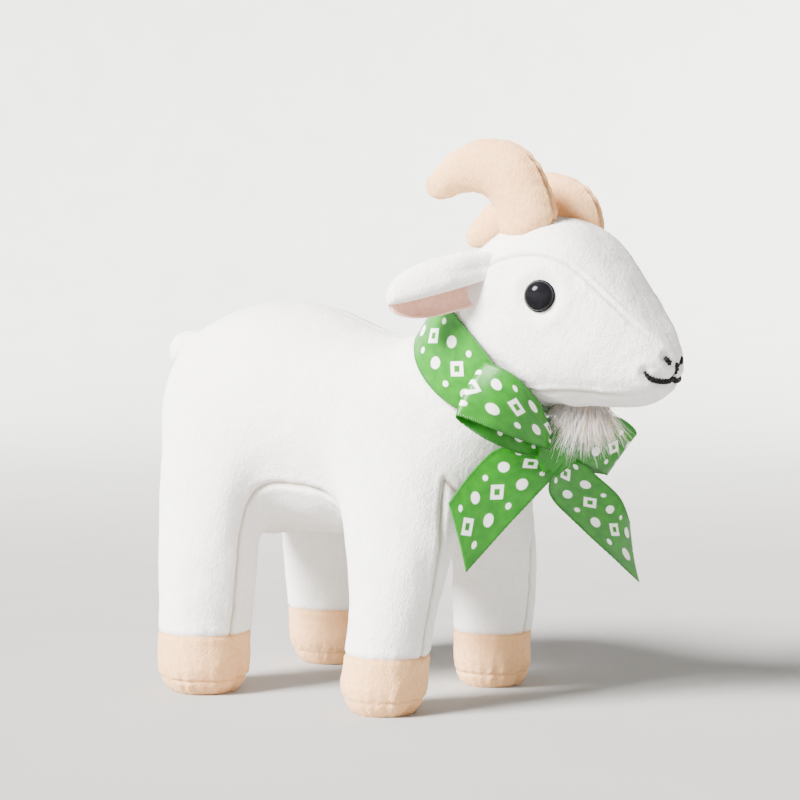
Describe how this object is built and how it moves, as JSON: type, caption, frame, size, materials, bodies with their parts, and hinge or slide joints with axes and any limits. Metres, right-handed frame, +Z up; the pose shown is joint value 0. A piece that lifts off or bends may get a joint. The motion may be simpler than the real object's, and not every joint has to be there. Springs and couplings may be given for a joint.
{
  "type": "plush toy goat",
  "caption": "Small standing plush goat with curved horns, folded ears, a tuft of beard and a satin ribbon bow round its neck.",
  "frame": {"origin": "middle of the bounding box's footprint, on the surface under the hooves", "axes": "+Z up, -Y towards the nose, +X towards the goat's left side"},
  "size_m": [0.091, 0.1834, 0.16],
  "materials": {
    "white_plush": "short soft pile, matt",
    "peach_plush": "short soft pile, matt",
    "pink_plush": "short soft pile, matt",
    "stuffing": "loose polyester fibre fill",
    "black_gloss": "polished moulded plastic",
    "clear_washer": "moulded lock washer",
    "black_thread": "embroidery floss",
    "beard_hair": "long loose synthetic hair",
    "green_satin": "satin ribbon with woven edges"
  },
  "bodies": {
    "root": {"body_side_left": "white_plush", "body_side_right": "white_plush", "belly_gusset": "white_plush", "hoof_cover_rear_left": "peach_plush", "hoof_cover_rear_right": "peach_plush", "hoof_cover_front_left": "peach_plush", "hoof_cover_front_right": "peach_plush", "hoof_sole_rear_left": "peach_plush", "hoof_sole_rear_right": "peach_plush", "hoof_sole_front_left": "peach_plush", "hoof_sole_front_right": "peach_plush", "body_stuffing": "stuffing", "ribbon_neck_band": "green_satin", "ribbon_knot": "green_satin", "ribbon_loop_left": "green_satin", "ribbon_loop_right": "green_satin"},
    "head": {"head_stuffing": "stuffing", "head_side_left": "white_plush", "head_side_right": "white_plush", "forehead_gusset": "white_plush", "chin_gusset": "white_plush", "eye_left": "black_gloss", "eye_right": "black_gloss", "eye_washer_left": "clear_washer", "eye_washer_right": "clear_washer", "nostril_stitch_left": "black_thread", "nostril_stitch_right": "black_thread", "lip_stitch": "black_thread", "mouth_stitch": "black_thread", "beard": "beard_hair", "horn_left_outer_half": "peach_plush", "horn_left_inner_half": "peach_plush", "horn_left_stuffing": "stuffing", "horn_right_outer_half": "peach_plush", "horn_right_inner_half": "peach_plush", "horn_right_stuffing": "stuffing"},
    "ear_left": {"ear_left_outer": "white_plush", "ear_left_inner": "pink_plush"},
    "ear_right": {"ear_right_outer": "white_plush", "ear_right_inner": "pink_plush"},
    "tail": {"tail_left_half": "white_plush", "tail_right_half": "white_plush", "tail_stuffing": "stuffing"},
    "ribbon_tail_left": {"ribbon_tail_left": "green_satin"},
    "ribbon_tail_right": {"ribbon_tail_right": "green_satin"}
  },
  "joints": [
    {"name": "head_nod", "type": "hinge", "parent": "root", "child": "head", "pos_m": [0, -0.03187, 0.0982], "axis": [1, 0, 0], "range_deg": [-10, 6], "stiffness_Nm_per_rad": 1, "deforming": ["ribbon_neck_band", "beard"]},
    {"name": "ear_left_flap", "type": "hinge", "parent": "head", "child": "ear_left", "pos_m": [0.0213, -0.03827, 0.121], "axis": [0.1735, 0.2088, 0.9625], "range_deg": [-14, 10], "stiffness_Nm_per_rad": 0.01},
    {"name": "ear_right_flap", "type": "hinge", "parent": "head", "child": "ear_right", "pos_m": [-0.0213, -0.03827, 0.121], "axis": [-0.1735, 0.2088, 0.9625], "range_deg": [-10, 14], "stiffness_Nm_per_rad": 0.01},
    {"name": "tail_wag", "type": "hinge", "parent": "root", "child": "tail", "pos_m": [0, 0.07653, 0.1026], "axis": [1, 0, 0], "range_deg": [-15, 20], "stiffness_Nm_per_rad": 0.02},
    {"name": "ribbon_tail_left_lift", "type": "hinge", "parent": "root", "child": "ribbon_tail_left", "pos_m": [0.0044, -0.05197, 0.0706], "axis": [0.8124, -0.058, 0.5803], "range_deg": [0, 25], "stiffness_Nm_per_rad": 0.006},
    {"name": "ribbon_tail_right_lift", "type": "hinge", "parent": "root", "child": "ribbon_tail_right", "pos_m": [-0.0036, -0.04997, 0.0716], "axis": [-0.6047, 0.5183, 0.6047], "range_deg": [-8, 30], "stiffness_Nm_per_rad": 0.006}
  ]
}
